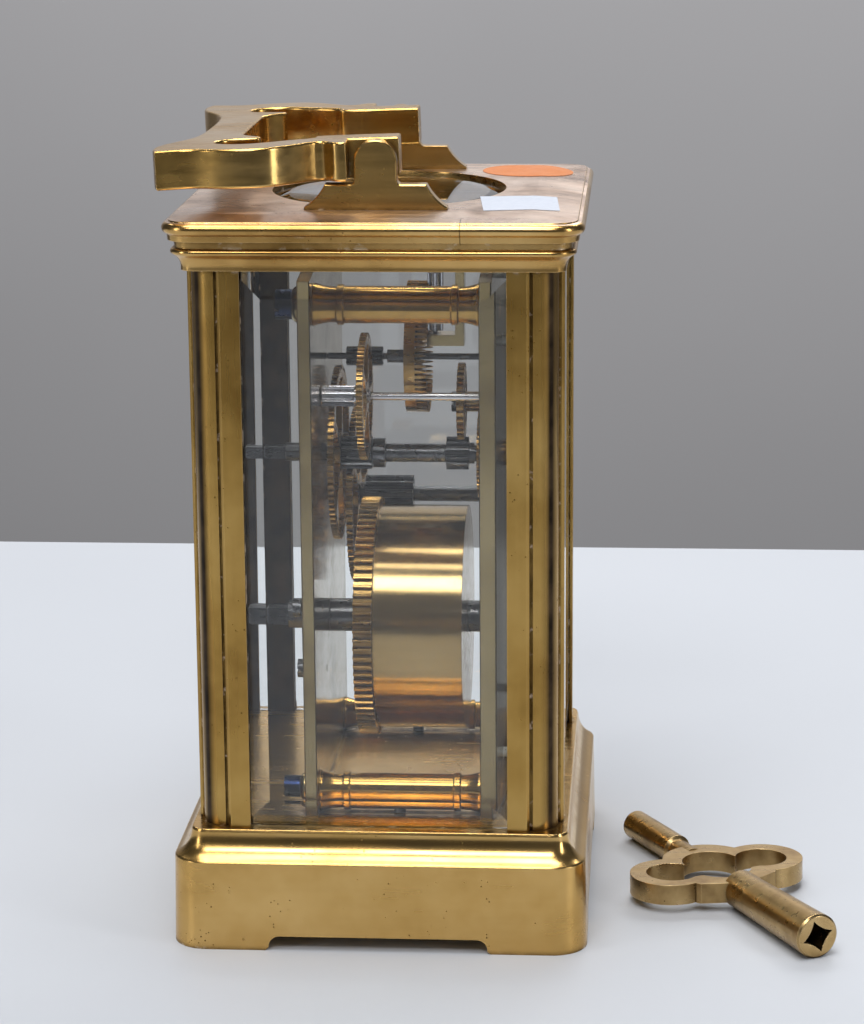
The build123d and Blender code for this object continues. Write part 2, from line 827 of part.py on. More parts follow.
with BuildPart() as mainspring:
    with BuildSketch(toward_front(barrel[0], 1.0, barrel[1])):
        with BuildLine():
            inner_edge = Spline(*spiral(spring_inner))
            outer_edge = Spline(*spiral(spring_inner + ribbon))
            Line(inner_edge @ 0, outer_edge @ 0)
            Line(inner_edge @ 1, outer_edge @ 1)
        make_face()
    extrude(amount=15.0)
save(mainspring, "mainspring")

with BuildPart() as barrel_arbor:
    square_rod(barrel, square_end, square_start, winding_square)
    rod(barrel, square_start, back_inner, barrel_journal)
    rod(barrel, back_inner, great_y[0] + 0.2, 3.4)
    rod(barrel, great_y[0] + 0.2, front_plate_y + 0.2, arbor_in_wheel)
    rod(barrel, 0.8, drum_front + cap_thick + 0.4, 5.8)
    rod(barrel, front_plate_y + 0.2, front_outer - 0.3, barrel_pivot)
    chamfer(barrel_arbor.faces().sort_by(Axis.Y)[-1].edges(), 0.4)
save(barrel_arbor, "barrel_arbor")

with BuildPart() as ratchet_wheel:
    root_r = ratchet_r - 1.1
    teeth_points = []
    for tooth in range(ratchet_teeth):
        start = 2 * math.pi * tooth / ratchet_teeth
        teeth_points.append(polar(ratchet_r, start))
        teeth_points.append(polar(root_r, start + 0.1 * 2 * math.pi / ratchet_teeth))
    with BuildSketch(toward_front(barrel[0], ratchet_y[0], barrel[1])):
        with BuildLine():
            Polyline(*teeth_points, close=True)
        make_face()
        Circle(barrel_journal + 0.01, mode=Mode.SUBTRACT)
    extrude(amount=ratchet_y[0] - ratchet_y[1])
save(ratchet_wheel, "ratchet_wheel")

# Click: it lies just clear of the ratchet's tips and lifts away from them
nose = (barrel[0] - 2.2, barrel[1] - ratchet_r - 0.2)
with BuildPart() as click:
    with BuildSketch(toward_front(0, ratchet_y[0], 0)):
        with Locations(click_pivot):
            Circle(2.1)
        with BuildLine():
            Polyline(
                (click_pivot[0] - 0.4, click_pivot[1] + 2.0),
                (nose[0] - 1.4, nose[1] - 0.6),
                nose,
                (nose[0] + 0.5, nose[1] - 1.4),
                (click_pivot[0] + 0.4, click_pivot[1] - 2.0),
                close=True,
            )
        make_face()
        with Locations(click_pivot):
            Circle(0.85, mode=Mode.SUBTRACT)
    extrude(amount=ratchet_y[0] - ratchet_y[1])
save(click, "click")

with BuildPart() as click_spring:
    with BuildSketch(toward_front(0, ratchet_y[0] - 0.2, 0)):
        with Locations((-16.0, 62.0)):
            Circle(1.9)
        with BuildLine():
            blade = ThreePointArc((-17.3, 62.0), (-18.2, 53.0), (-12.6, 45.0))
            Line(blade @ 1, (-12.1, 45.6))
            inner_blade = ThreePointArc((-12.1, 45.6), (-17.4, 53.2), (-16.2, 60.6))
            Line(inner_blade @ 1, (-17.3, 62.0))
        make_face()
        with Locations((-16.0, 62.0)):
            Circle(0.85, mode=Mode.SUBTRACT)
    extrude(amount=ratchet_y[0] - ratchet_y[1] - 0.2)
save(click_spring, "click_spring")

with BuildPart() as back_plate_screws:
    for place in (click_pivot, (-16.0, 62.0)):
        rod(place, 18.9, ratchet_y[0] + 0.1, 1.9)
        rod(place, ratchet_y[0] + 0.1, back_inner + 0.3, 0.78)
        with Locations(toward_front(place[0], 19.0, place[1])):
            Box(4.4, 0.6, 0.7, align=(Align.CENTER, Align.CENTER, Align.MIN), mode=Mode.SUBTRACT)
save(back_plate_screws, "back_plate_screws")

# ---------------------------------------------------------------------------
# Going train
# ---------------------------------------------------------------------------


def arbor_ends(place, radius, body_r):
    """The pivots in both plates and the plain arbor between their shoulders."""
    rod(place, back_plate_y - 0.2, back_inner - 0.2, radius)
    rod(place, back_inner - 0.2, front_plate_y + 0.2, body_r)
    rod(place, front_plate_y + 0.2, front_outer + 0.2, radius)


def gear_length(place, rear, front, teeth, module, share, phase):
    """A length of gear or pinion along Y."""
    extrude(
        gear(toward_front(place[0], rear, place[1]), teeth, module, share, phase),
        amount=rear - front,
    )


def wheel(label, place, span, teeth, module, phase, bore, hub_r, spokes, spoke):
    """A crossed-out brass wheel."""
    rim_r = teeth * module / 2 - dedendum * module - 1.5
    with BuildPart() as disc:
        gear_length(place, span[0], span[1], teeth, module, wheel_share, phase)
        extrude(
            crossings(toward_front(place[0], span[0], place[1]), hub_r, rim_r, spokes, spoke),
            amount=span[0] - span[1],
            mode=Mode.SUBTRACT,
        )
        rod(place, span[0] + 1, span[1] - 1, bore, Mode.SUBTRACT)
    save(disc, label)


intermediate_phase = direction(intermediate, barrel) + 180 / intermediate_leaves
with BuildPart() as intermediate_arbor:
    arbor_ends(intermediate, 0.9, 1.6)
    rod(intermediate, intermediate_y[0] + 1.0, 6.9, 2.3)
    gear_length(intermediate, 6.9, -3.1, intermediate_leaves, great_module, leaf_share, intermediate_phase)
    rod(intermediate, intermediate_y[0] + 0.6, intermediate_y[0], 2.9)
save(intermediate_arbor, "intermediate_arbor")

intermediate_module = mesh_module(intermediate, centre, intermediate_teeth, centre_leaves)
wheel(
    "intermediate_wheel",
    intermediate,
    intermediate_y,
    intermediate_teeth,
    intermediate_module,
    direction(intermediate, centre),
    2.32,
    4.6,
    5,
    2.0,
)

with BuildPart() as centre_pinion:
    rod(centre, back_inner - 0.3, 10.0, 1.9)
    gear_length(
        centre, 10.2, 4.0, centre_leaves, intermediate_module, leaf_share,
        direction(centre, intermediate) + 180 / centre_leaves,
    )
    rod(centre, back_inner, 3.0, setting_r + pivot_play, Mode.SUBTRACT)
save(centre_pinion, "centre_pinion")

centre_module = mesh_module(centre, third, centre_teeth, third_leaves)
wheel(
    "centre_wheel", centre, centre_y, centre_teeth, centre_module, direction(centre, third), 1.92, 4.2, 5, 1.8
)

# Hand arbor: the setting square behind, the friction collar, the pinion of the
# motion work and the seat of the minute hand.
cannon_module = mesh_module(centre, motion, minute_teeth, cannon_leaves)
with BuildPart() as hand_arbor:
    square_rod(centre, square_end, square_start, setting_square)
    rod(centre, square_start, back_plate_y + 0.3, 1.9)
    rod(centre, back_plate_y + 0.3, 3.7, setting_r)
    rod(centre, 3.7, 1.3, 3.05)
    rod(centre, 1.3, -11.2, 1.9)
    cannon_phase = direction(centre, motion) + 180 / cannon_leaves
    gear_length(centre, -11.2, -15.7, cannon_leaves, cannon_module, leaf_share, cannon_phase)
    rod(centre, -15.7, -16.9, 2.2)
    rod(centre, -16.9, -28.0, 1.7)
    rod(centre, -28.0, -29.4, 1.1)
    chamfer(hand_arbor.faces().sort_by(Axis.Y)[-1].edges(), 0.3)
save(hand_arbor, "hand_arbor")

third_module = mesh_module(third, contrate, third_teeth, contrate_leaves)
with BuildPart() as third_arbor:
    arbor_ends(third, 0.45, 0.8)
    third_phase = direction(third, centre) + 180 / third_leaves
    gear_length(third, 12.7, 6.2, third_leaves, centre_module, leaf_share, third_phase)
    rod(third, 6.2, third_y[0], 2.0)
    rod(third, third_y[0], third_y[1] - 0.4, 1.3)
save(third_arbor, "third_arbor")

wheel("third_wheel", third, third_y, third_teeth, third_module, direction(third, contrate), 1.32, 3.2, 5, 1.5)

with BuildPart() as contrate_arbor:
    arbor_ends(contrate, 0.4, 0.65)
    gear_length(
        contrate, 9.0, 1.6, contrate_leaves, third_module, leaf_share,
        direction(contrate, third) + 180 / contrate_leaves,
    )
    rod(contrate, 0.7, contrate_y[0], 1.35)
    rod(contrate, contrate_y[0], contrate_y[0] - 1.3, 1.1)
save(contrate_arbor, "contrate_arbor")

# Contrate wheel: a crossed web, a rim and crown teeth that point to the front
crown_mid = contrate_r - contrate_rim / 2
crown_pitch = 2 * math.pi * crown_mid / contrate_teeth
crown_planes = []
for tooth in range(contrate_teeth):
    turn = math.pi / 2 + 2 * math.pi * tooth / contrate_teeth
    crown_planes.append(
        Plane(
            origin=(
                contrate[0] + (contrate_r - contrate_rim) * math.cos(turn),
                contrate_y[1],
                contrate[1] + (contrate_r - contrate_rim) * math.sin(turn),
            ),
            x_dir=(-math.sin(turn), 0, math.cos(turn)),
            z_dir=(math.cos(turn), 0, math.sin(turn)),
        )
    )
contrate_plane = toward_front(contrate[0], contrate_y[0], contrate[1])
with BuildPart() as contrate_wheel:
    rod(contrate, contrate_y[0], contrate_y[1], contrate_r)
    rod(contrate, contrate_y[0] - 0.9, contrate_y[1] - 1, contrate_r - contrate_rim, Mode.SUBTRACT)
    extrude(
        crossings(contrate_plane, 3.0, contrate_r - contrate_rim - 0.6, 4, 1.6),
        amount=0.9,
        mode=Mode.SUBTRACT,
    )
    rod(contrate, contrate_y[0] + 1, contrate_y[1] - 1, 1.12, Mode.SUBTRACT)
    with BuildSketch(*crown_planes):
        with BuildLine():
            Polyline(
                (-0.3 * crown_pitch, -0.1),
                (0.3 * crown_pitch, -0.1),
                (0.22 * crown_pitch, 1.5),
                (0.07 * crown_pitch, contrate_y[1] - crown_tip),
                (-0.07 * crown_pitch, contrate_y[1] - crown_tip),
                (-0.22 * crown_pitch, 1.5),
                close=True,
            )
        make_face()
    extrude(amount=contrate_rim - 0.05)
save(contrate_wheel, "contrate_wheel")

# ---------------------------------------------------------------------------
# Motion work, dial and hands
# ---------------------------------------------------------------------------
hour_module = mesh_module(centre, motion, hour_teeth, minute_leaves)
with BuildPart() as minute_wheel:
    motion_phase = direction(motion, centre)
    gear_length(motion, minute_y[0], minute_y[1], minute_teeth, cannon_module, wheel_share, motion_phase)
    extrude(
        crossings(toward_front(motion[0], minute_y[0], motion[1]), 3.0, 5.9, 4, 1.6),
        amount=minute_y[0] - minute_y[1],
        mode=Mode.SUBTRACT,
    )
    gear_length(
        motion, minute_y[1], -19.1, minute_leaves, hour_module, leaf_share,
        direction(motion, centre) + 180 / minute_leaves,
    )
    rod(motion, minute_y[0] + 1, -20, stud_r + pivot_play, Mode.SUBTRACT)
save(minute_wheel, "minute_wheel")

with BuildPart() as minute_stud:
    rod(motion, -12.2, minute_y[0] + 0.1, 2.1)
    rod(motion, minute_y[0] + 0.1, front_outer, stud_r)
    with Locations(toward_front(motion[0], -12.1, motion[1])):
        Box(5, 0.6, 0.6, align=(Align.CENTER, Align.CENTER, Align.MIN), mode=Mode.SUBTRACT)
save(minute_stud, "minute_stud")

with BuildPart() as hour_wheel:
    gear_length(centre, hour_y[0], hour_y[1], hour_teeth, hour_module, wheel_share, direction(centre, motion))
    rod(centre, hour_y[1], -27.7, pipe_r)
    rod(centre, hour_y[0] + 1, -28, 1.7 + pivot_play, Mode.SUBTRACT)
save(hour_wheel, "hour_wheel")

with BuildPart() as dial_plate:
    with BuildSketch(toward_front(0, dial_y, 0)):
        with Locations((0, (dial_low + dial_high) / 2)):
            RectangleRounded(2 * dial_x, dial_high - dial_low, 1.0)
        with Locations(centre):
            Circle(3.4, mode=Mode.SUBTRACT)
    extrude(amount=dial_thick)
    for x in (-22.0, 22.0):
        for z in (34.0, 118.0):
            rod((x, z), front_outer, dial_y, 1.0)
save(dial_plate, "dial_plate")


def hand(label, rear, thick, bore, length, bulge, angle):
    """A flat spade hand: a boss, a tapered stem, a spade and a point."""
    heading = math.radians(90 - angle)
    along = (math.cos(heading), math.sin(heading))
    blade_plane = Plane(
        origin=(centre[0], rear, centre[1]),
        x_dir=(along[0], 0, along[1]),
        z_dir=(0, -1, 0),
    )
    spade = 0.62 * length
    with BuildPart() as blade:
        with BuildSketch(blade_plane):
            Circle(bore + 1.3)
            with BuildLine():
                root = Line((0, -0.55), (spade, -0.35))
                under = ThreePointArc(root @ 1, (spade + 0.35 * bulge, -bulge), (spade + 2.1 * bulge, -0.3))
                point = Polyline(under @ 1, (length, 0), (spade + 2.1 * bulge, 0.3))
                over = ThreePointArc(point @ 1, (spade + 0.35 * bulge, bulge), (spade, 0.35))
                Polyline(over @ 1, (0, 0.55), (0, -0.55))
            make_face()
            Circle(bore, mode=Mode.SUBTRACT)
        extrude(amount=thick)
    save(blade, label)


hand("hour_hand", -26.9, 0.5, pipe_r + 0.01, 14.5, 2.0, hour_angle)
hand("minute_hand", -28.5, 0.5, 1.11, 21.5, 1.3, minute_angle)

# ---------------------------------------------------------------------------
# Platform escapement
# ---------------------------------------------------------------------------
platform_top = platform_z + platform_thick
jewel = 0.3
escape_pivot = 0.25
with BuildPart() as platform:
    with BuildSketch(Plane.XY.offset(platform_z)):
        with Locations((0, (back_plate_y + front_outer) / 2)):
            RectangleRounded(2 * platform_x, back_plate_y - front_outer, 2.0)
    extrude(amount=platform_thick)
    upright(0, escape_y, platform_z - 1, platform_top + 1, 0.8, Mode.SUBTRACT)
    for y in (lever_y, balance_y):
        upright(0, y, platform_z + 0.4, platform_top + 1, jewel, Mode.SUBTRACT)
save(platform, "platform")

# Potence: an angle under the platform that carries the escape arbor's foot
potence_foot = 113.2
with BuildPart() as potence:
    with BuildSketch(Plane.YZ.offset(-2.5)):
        with BuildLine():
            Polyline(
                (-7.5, potence_foot),
                (-15.0, potence_foot),
                (-15.0, platform_z - 1.4),
                (-18.4, platform_z - 1.4),
                (-18.4, platform_z),
                (-13.2, platform_z),
                (-13.2, potence_foot + 2.2),
                (-7.5, potence_foot + 2.2),
                close=True,
            )
        make_face()
    extrude(amount=5.0)
    upright(0, escape_y, potence_foot + 0.6, potence_foot + 3, escape_pivot + pivot_play, Mode.SUBTRACT)
save(potence, "potence")

wheel_low = platform_top + 0.9
staff = 0.45
train_cock_low = platform_top + 2.4
train_cock_high = train_cock_low + 0.5
balance_cock_low = 136.8
balance_cock_high = 137.8

# Escape wheel on its upright arbor: pinion below the platform, wheel above it
escape_plane = Plane(origin=(0, escape_y, wheel_low), x_dir=(1, 0, 0), z_dir=(0, 0, 1))
with BuildPart() as escape_wheel:
    upright(0, escape_y, potence_foot + 0.9, potence_foot + 2.4, escape_pivot)
    upright(0, escape_y, potence_foot + 2.3, train_cock_low - 0.1, staff)
    upright(0, escape_y, train_cock_low - 0.1, train_cock_high - 0.2, escape_pivot)
    leaf_module = 2 * (contrate_r - contrate_rim / 4) / contrate_teeth
    extrude(
        gear(
            Plane(origin=(0, escape_y, 116.0), x_dir=(0, 1, 0), z_dir=(0, 0, 1)),
            escape_leaves,
            leaf_module,
            leaf_share,
            180 / escape_leaves,
        ),
        amount=8.0,
    )
    club_points = []
    for tooth in range(escape_teeth):
        start = 2 * math.pi * tooth / escape_teeth
        club_points += [
            polar(escape_r - 1.0, start - 0.05),
            polar(escape_r - 0.25, start + 0.1),
            polar(escape_r, start + 0.15),
            polar(escape_r - 0.1, start + 0.06),
            polar(escape_r - 1.0, start - 0.16),
        ][::-1]
    with BuildSketch(escape_plane):
        with BuildLine():
            Polyline(*club_points, close=True)
        make_face()
    extrude(amount=0.5)
    extrude(
        crossings(escape_plane, 1.2, escape_r - 1.5, 4, 0.6),
        amount=0.5,
        mode=Mode.SUBTRACT,
    )
save(escape_wheel, "escape_wheel")

# Lever: pallet arms toward the escape wheel, a fork toward the balance
fork_tip = balance_y - 1.3
with BuildPart() as pallet_lever:
    upright(0, lever_y, platform_z + 0.5, platform_top + 0.3, jewel - 0.05)
    upright(0, lever_y, platform_top + 0.3, train_cock_low - 0.1, staff)
    upright(0, lever_y, train_cock_low - 0.1, train_cock_high - 0.2, jewel - 0.05)
    with BuildSketch(Plane.XY.offset(wheel_low)):
        with Locations((0, lever_y)):
            Circle(1.1)
        for side in (-1, 1):
            with BuildLine():
                Polyline(
                    (0, lever_y + 1.0),
                    (side * 4.2, lever_y - 1.0),
                    (side * 4.7, lever_y - 2.6),
                    (side * 4.1, lever_y - 2.6),
                    (side * 3.3, lever_y - 1.3),
                    (0, lever_y - 0.6),
                    close=True,
                )
            make_face()
        with BuildLine():
            Polyline(
                (-0.5, lever_y),
                (-0.35, fork_tip - 1.4),
                (-0.9, fork_tip - 0.9),
                (-0.8, fork_tip),
                (-0.35, fork_tip),
                (-0.35, fork_tip - 0.8),
                (0.35, fork_tip - 0.8),
                (0.35, fork_tip),
                (0.8, fork_tip),
                (0.9, fork_tip - 0.9),
                (0.35, fork_tip - 1.4),
                (0.5, lever_y),
                close=True,
            )
        make_face()
    extrude(amount=0.5)
save(pallet_lever, "pallet_lever")

# Balance: a rim on two arms with timing screws, its staff, roller and pin
rim_low = balance_z - 0.9
with BuildPart() as balance_wheel:
    upright(0, balance_y, platform_z + 0.5, platform_top + 0.3, jewel - 0.05)
    upright(0, balance_y, platform_top + 0.3, balance_cock_low - 0.1, staff)
    upright(0, balance_y, balance_cock_low - 0.1, balance_cock_high - 0.3, jewel - 0.05)
    upright(0, balance_y, wheel_low + 0.9, wheel_low + 1.3, 2.0)
    upright(0, balance_y - 1.6, wheel_low + 0.6, wheel_low + 1.0, 0.25)
    upright(0, balance_y, rim_low, rim_low + 1.1, balance_r)
    upright(0, balance_y, rim_low - 0.1, rim_low + 1.2, balance_r - 0.8, Mode.SUBTRACT)
    upright(0, balance_y, rim_low - 0.2, rim_low + 1.3, 1.1)
    with Locations((0, balance_y, rim_low)):
        Box(2 * balance_r - 0.8, 0.9, 0.5, align=(Align.CENTER, Align.CENTER, Align.MIN))
    for turn in range(0, 360, 30):
        place = polar(balance_r - 0.2, math.radians(turn + 15))
        radial = (place[0], place[1], 0)
        with Locations(Plane(origin=(place[0], balance_y + place[1], rim_low + 0.55), z_dir=radial)):
            Cylinder(0.4, 0.9, align=(Align.CENTER, Align.CENTER, Align.MIN))
save(balance_wheel, "balance_wheel")

# Hairspring: a flat spiral round the staff, pinned to the balance cock's arm
coils = 8
coil_steps = 12 * coils
coil_width = 0.12
coil_inner = 1.0
coil_outer = 4.2


def coil(extra):
    """Points of the hairspring's spiral, with an extra radius."""
    return [
        polar(
            coil_inner + extra + (coil_outer - coil_inner) * step / coil_steps,
            2 * math.pi * coils * step / coil_steps,
        )
        for step in range(coil_steps + 1)
    ]


with BuildPart() as hairspring:
    with BuildSketch(Plane(origin=(0, balance_y, 136.1), x_dir=(1, 0, 0), z_dir=(0, 0, 1))):
        with BuildLine():
            near_side = Spline(*coil(0))
            far_side = Spline(*coil(coil_width))
            Line(near_side @ 0, far_side @ 0)
            Line(near_side @ 1, far_side @ 1)
        make_face()
    extrude(amount=0.35)
    upright(coil_outer + 0.1, balance_y, 136.0, balance_cock_low, 0.3)
save(hairspring, "hairspring")

# Cocks: one over the balance, one over the escape wheel and the lever
with BuildPart() as balance_cock:
    with BuildSketch(Plane.XY.offset(balance_cock_low)):
        with Locations((0, balance_y)):
            Circle(2.2)
        with BuildLine():
            Polyline(
                (0, balance_y - 1.8),
                (9.5, balance_y - 3.2),
                (15.2, balance_y - 3.2),
                (15.2, balance_y + 3.2),
                (9.5, balance_y + 3.2),
                (0, balance_y + 1.8),
                close=True,
            )
        make_face()
    extrude(amount=balance_cock_high - balance_cock_low)
    with Locations((12.35, balance_y, platform_top)):
        Box(
            5.7,
            6.4,
            balance_cock_low - platform_top,
            align=(Align.CENTER, Align.CENTER, Align.MIN),
        )
    upright(0, balance_y, balance_cock_low - 1, balance_cock_high - 0.2, jewel, Mode.SUBTRACT)
save(balance_cock, "balance_cock")

with BuildPart() as train_cock:
    with BuildSketch(Plane.XY.offset(train_cock_low)):
        with Locations((0, escape_y), (0, lever_y)):
            Circle(1.0)
        with BuildLine():
            Polyline(
                (0.6, escape_y - 0.9),
                (0.9, lever_y + 0.5),
                (-1.0, lever_y + 0.8),
                (-7.0, lever_y - 0.5),
                (-12.0, lever_y - 1.0),
                (-12.0, escape_y - 0.5),
                (-7.0, escape_y - 0.9),
                close=True,
            )
        make_face()
    extrude(amount=train_cock_high - train_cock_low)
    with Locations((-9.5, (lever_y - 1.0 + escape_y - 0.5) / 2, platform_top)):
        Box(5.0, 6.0, train_cock_low - platform_top, align=(Align.CENTER, Align.CENTER, Align.MIN))
    for y, radius in ((escape_y, escape_pivot + pivot_play), (lever_y, jewel)):
        upright(0, y, train_cock_low - 1, train_cock_high - 0.1, radius, Mode.SUBTRACT)
save(train_cock, "train_cock")

# ---------------------------------------------------------------------------
# Winding key: a large and a small tube with square sockets and a pierced bow
# ---------------------------------------------------------------------------
heading = math.radians(key_heading)
droop = math.asin((key_end_r - key_small_r) / key_length)
key_along = (math.cos(heading) * math.cos(droop), math.sin(heading) * math.cos(droop), -math.sin(droop))
key_up = (math.cos(heading) * math.sin(droop), math.sin(heading) * math.sin(droop), math.cos(droop))
key_origin = (key_end[0], key_end[1], key_end_r + key_clear)
bow_plane = Plane(origin=key_origin, x_dir=key_along, z_dir=key_up)
tube_plane = Plane(origin=key_origin, x_dir=key_up, z_dir=key_along)
neck_start = 51.0
neck_end = 57.6
lobe_centre = 40.75
with BuildPart() as winding_key:
    with BuildSketch(bow_plane):
        with Locations((lobe_centre, 10.9), (lobe_centre, -10.9)):
            Circle(8.2)
        with Locations((44.35, 0)):
            Circle(9.5)
        with BuildLine():
            Polyline(
                (lobe_centre, 9.2), (32.5, 9.2), (31.6, 8.6), (30.4, 5.4), (29.5, 3.0),
                (29.5, -3.0), (30.4, -5.4), (31.6, -8.6), (32.5, -9.2), (lobe_centre, -9.2), close=True,
            )
        make_face()
        with Locations((lobe_centre, 10.4), (lobe_centre, -10.4)):
            Circle(5.3, mode=Mode.SUBTRACT)
        with Locations((43.15, 0)):
            Circle(6.0, mode=Mode.SUBTRACT)
        with Locations((39.05, 0)):
            Circle(6.3, mode=Mode.SUBTRACT)
        with Locations((38.1, 0)):
            Rectangle(3.7, 18.0, mode=Mode.SUBTRACT)
    extrude(amount=key_bow_half, both=True)
    with BuildSketch(bow_plane):
        with BuildLine():
            Polyline(
                (0, 0), (0, key_end_r - 0.4), (0.4, key_end_r), (24.0, key_tube_r), (31.0, key_tube_r - 0.1),
                (33.2, key_bow_half - 0.2), (33.2, 0), close=True,
            )
        make_face()
        with BuildLine():
            Polyline(
                (neck_start, 0), (neck_start, key_bow_half + 0.3), (neck_end, key_bow_half + 0.3),
                (neck_end + 0.6, key_small_r), (key_length - 0.3, key_small_r),
                (key_length, key_small_r - 0.3), (key_length, 0), close=True,
            )
        make_face()
    revolve(axis=Axis(key_origin, key_along))
    with BuildSketch(tube_plane):
        with BuildLine():
            for quarter in range(4):
                start = math.radians(90 * quarter - key_socket_turn)
                ThreePointArc(
                    polar(key_socket_tip, start),
                    polar(key_socket / 2, start + math.pi / 4),
                    polar(key_socket_tip, start + math.pi / 2),
                )
        make_face()
    extrude(amount=12.0, mode=Mode.SUBTRACT)
    with BuildSketch(tube_plane.offset(key_length)):
        Rectangle(key_small_socket, key_small_socket)
    extrude(amount=-10.0, mode=Mode.SUBTRACT)
save(winding_key, "winding_key")
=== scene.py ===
import json
import math

import bpy
from mathutils import Matrix, Vector
from mathutils.bvhtree import BVHTree


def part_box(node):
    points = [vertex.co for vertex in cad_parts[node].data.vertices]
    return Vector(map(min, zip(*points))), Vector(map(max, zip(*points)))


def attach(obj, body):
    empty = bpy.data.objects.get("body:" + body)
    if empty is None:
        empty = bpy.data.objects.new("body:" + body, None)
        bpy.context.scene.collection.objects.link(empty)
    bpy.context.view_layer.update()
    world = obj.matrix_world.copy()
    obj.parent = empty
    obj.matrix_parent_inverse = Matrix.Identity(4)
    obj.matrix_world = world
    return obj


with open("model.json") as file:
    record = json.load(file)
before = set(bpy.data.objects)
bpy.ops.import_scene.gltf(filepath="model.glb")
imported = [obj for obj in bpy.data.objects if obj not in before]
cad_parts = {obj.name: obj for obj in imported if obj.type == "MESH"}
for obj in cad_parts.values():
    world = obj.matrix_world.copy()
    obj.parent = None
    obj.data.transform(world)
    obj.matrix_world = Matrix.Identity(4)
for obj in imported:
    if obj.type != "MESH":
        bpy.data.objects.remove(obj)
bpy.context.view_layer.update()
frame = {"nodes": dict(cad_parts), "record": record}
nodes = frame["nodes"]
MM = 0.001


# ---------------------------------------------------------------- shader helpers
class Tree:
    """A material's node tree, with short calls for the nodes used here."""

    def __init__(self, name):
        self.mat = bpy.data.materials.new(name)
        self.mat.use_nodes = True
        self.t = self.mat.node_tree
        self.t.nodes.clear()
        self.out = self.t.nodes.new("ShaderNodeOutputMaterial")
        self.shader = self.t.nodes.new("ShaderNodeBsdfPrincipled")
        self.link(self.shader.outputs[0], self.out.inputs[0])
        self.object = self.t.nodes.new("ShaderNodeTexCoord").outputs["Object"]
        self.normal = None

    def link(self, a, b):
        self.t.links.new(a, b)

    def put(self, socket, value):
        if isinstance(value, bpy.types.NodeSocket):
            self.link(value, socket)
        else:
            socket.default_value = value

    def node(self, kind, **settings):
        n = self.t.nodes.new(kind)
        for key, value in settings.items():
            setattr(n, key, value)
        return n

    def stretch(self, x, y, z, turn=(0, 0, 0)):
        n = self.node("ShaderNodeMapping")
        self.link(self.object, n.inputs["Vector"])
        n.inputs["Scale"].default_value = (x, y, z)
        n.inputs["Rotation"].default_value = turn
        return n.outputs[0]

    def noise(self, scale, detail=3.0, rough=0.55, vector=None, distortion=0.0):
        n = self.node("ShaderNodeTexNoise")
        self.link(vector or self.object, n.inputs["Vector"])
        n.inputs["Scale"].default_value = scale
        n.inputs["Detail"].default_value = detail
        n.inputs["Roughness"].default_value = rough
        n.inputs["Distortion"].default_value = distortion
        return n.outputs[0]

    def cells(self, scale, feature="F1", vector=None, randomness=1.0):
        n = self.node("ShaderNodeTexVoronoi", feature=feature)
        self.link(vector or self.object, n.inputs["Vector"])
        n.inputs["Scale"].default_value = scale
        n.inputs["Randomness"].default_value = randomness
        return n.outputs["Distance"]

    def ramp(self, fac, *stops, smooth=False):
        n = self.node("ShaderNodeValToRGB")
        self.link(fac, n.inputs[0])
        if smooth:
            n.color_ramp.interpolation = "EASE"
        for i, (pos, value) in enumerate(stops):
            e = n.color_ramp.elements[i] if i < 2 else n.color_ramp.elements.new(pos)
            e.position = pos
            e.color = value if len(value) == 4 else (*value, 1)
        return n.outputs[0]

    def step(self, fac, low, high, to_low=0.0, to_high=1.0):
        n = self.node("ShaderNodeMapRange", clamp=True)
        self.link(fac, n.inputs[0])
        for i, v in enumerate((low, high, to_low, to_high)):
            n.inputs[i + 1].default_value = v
        return n.outputs[0]

    def math(self, op, a, b=0.0):
        n = self.node("ShaderNodeMath", operation=op)
        self.put(n.inputs[0], a)
        self.put(n.inputs[1], b)
        return n.outputs[0]

    def mix(self, fac, a, b, mode="MIX"):
        n = self.node("ShaderNodeMix", data_type="RGBA", blend_type=mode)
        self.put(n.inputs[0], fac)
        self.put(n.inputs[6], a if isinstance(a, bpy.types.NodeSocket) or len(a) == 4 else (*a, 1))
        self.put(n.inputs[7], b if isinstance(b, bpy.types.NodeSocket) or len(b) == 4 else (*b, 1))
        return n.outputs[2]

    def axis(self, which):
        n = self.node("ShaderNodeSeparateXYZ")
        self.link(self.object, n.inputs[0])
        return n.outputs[which]

    def cavity(self, distance, samples=6):
        n = self.node("ShaderNodeAmbientOcclusion", samples=samples, only_local=False)
        n.inputs["Distance"].default_value = distance
        return n.outputs["AO"]

    def facing(self):
        return self.node("ShaderNodeNewGeometry").outputs["Normal"]

    def round_edges(self, radius):
        """Rounds the edges for light, and gives where they are."""
        n = self.node("ShaderNodeBevel", samples=6)
        n.inputs["Radius"].default_value = radius
        self.normal = n.outputs[0]
        dot = self.node("ShaderNodeVectorMath", operation="DOT_PRODUCT")
        self.link(n.outputs[0], dot.inputs[0])
        self.link(self.facing(), dot.inputs[1])
        return self.step(dot.outputs["Value"], 0.93, 0.995, 1.0, 0.0)

    def up_facing(self, low, high):
        n = self.node("ShaderNodeSeparateXYZ")
        self.link(self.facing(), n.inputs[0])
        return self.step(n.outputs[2], low, high)

    def bump(self, height, strength, distance):
        n = self.node("ShaderNodeBump")
        self.link(height, n.inputs["Height"])
        n.inputs["Strength"].default_value = strength
        n.inputs["Distance"].default_value = distance
        if self.normal is not None:
            self.link(self.normal, n.inputs["Normal"])
        self.normal = n.outputs[0]

    def done(self, color=None, rough=None, **fixed):
        if color is not None:
            self.put(self.shader.inputs["Base Color"], color)
        if rough is not None:
            self.put(self.shader.inputs["Roughness"], rough)
        for key, value in fixed.items():
            self.shader.inputs[key.replace("_", " ")].default_value = value
        if self.normal is not None:
            self.link(self.normal, self.shader.inputs["Normal"])
        return self.mat


